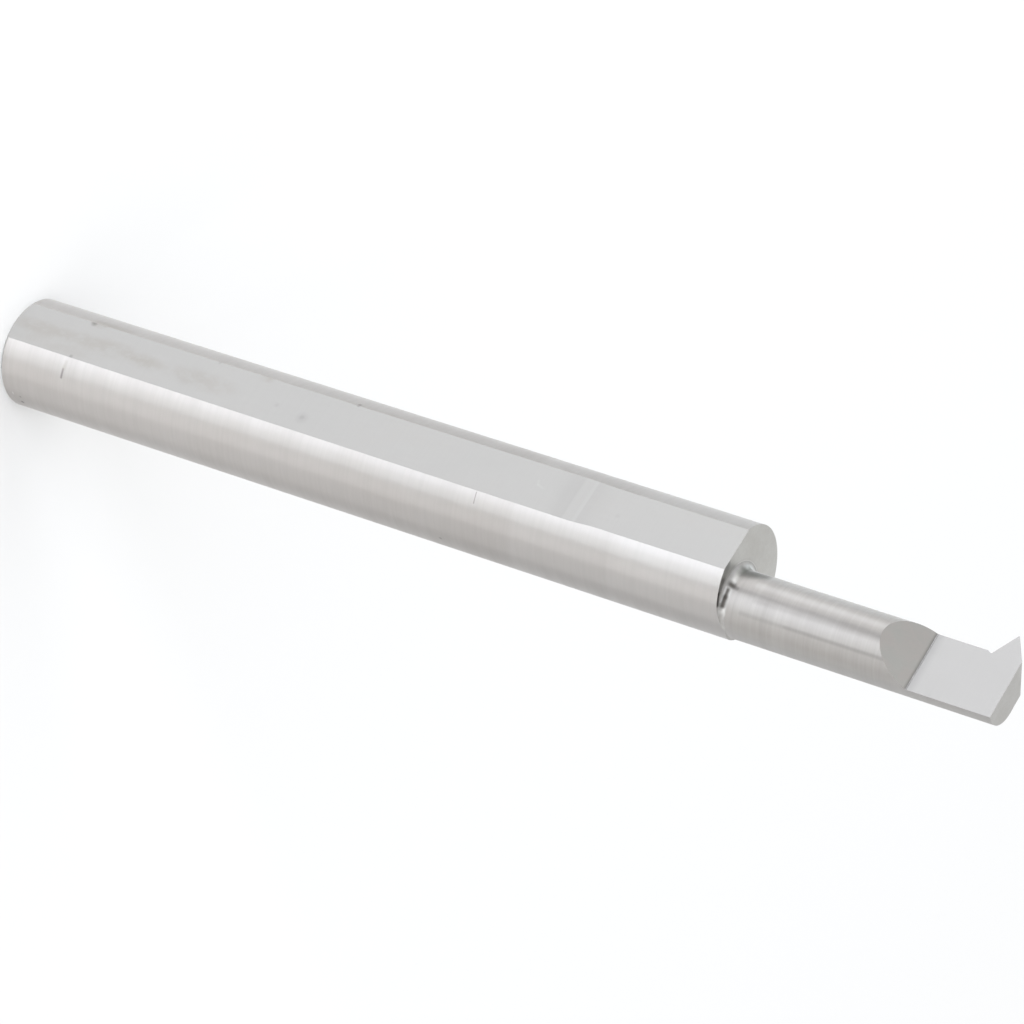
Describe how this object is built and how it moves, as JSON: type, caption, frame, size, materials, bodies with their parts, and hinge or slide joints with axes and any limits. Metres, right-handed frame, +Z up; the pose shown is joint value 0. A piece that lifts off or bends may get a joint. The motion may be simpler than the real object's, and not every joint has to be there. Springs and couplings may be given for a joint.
{
  "type": "internal threading tool",
  "caption": "Solid round bar with a clamping flat along its shank, a thinner neck set to one side, and a pointed tooth at its end that cuts threads inside a bore.",
  "frame": {"origin": "in the middle of the shank's square rear end, which the tool stands on", "axes": "+Z up along the bar towards the cutting end; the clamping flat and the rake face look towards -Y; the tooth points towards -X"},
  "size_m": [0.0064, 0.0061, 0.0635],
  "materials": {
    "ground_carbide": "fine ground, satin"
  },
  "bodies": {
    "root": {"threading_bar": "ground_carbide"}
  },
  "joints": []
}
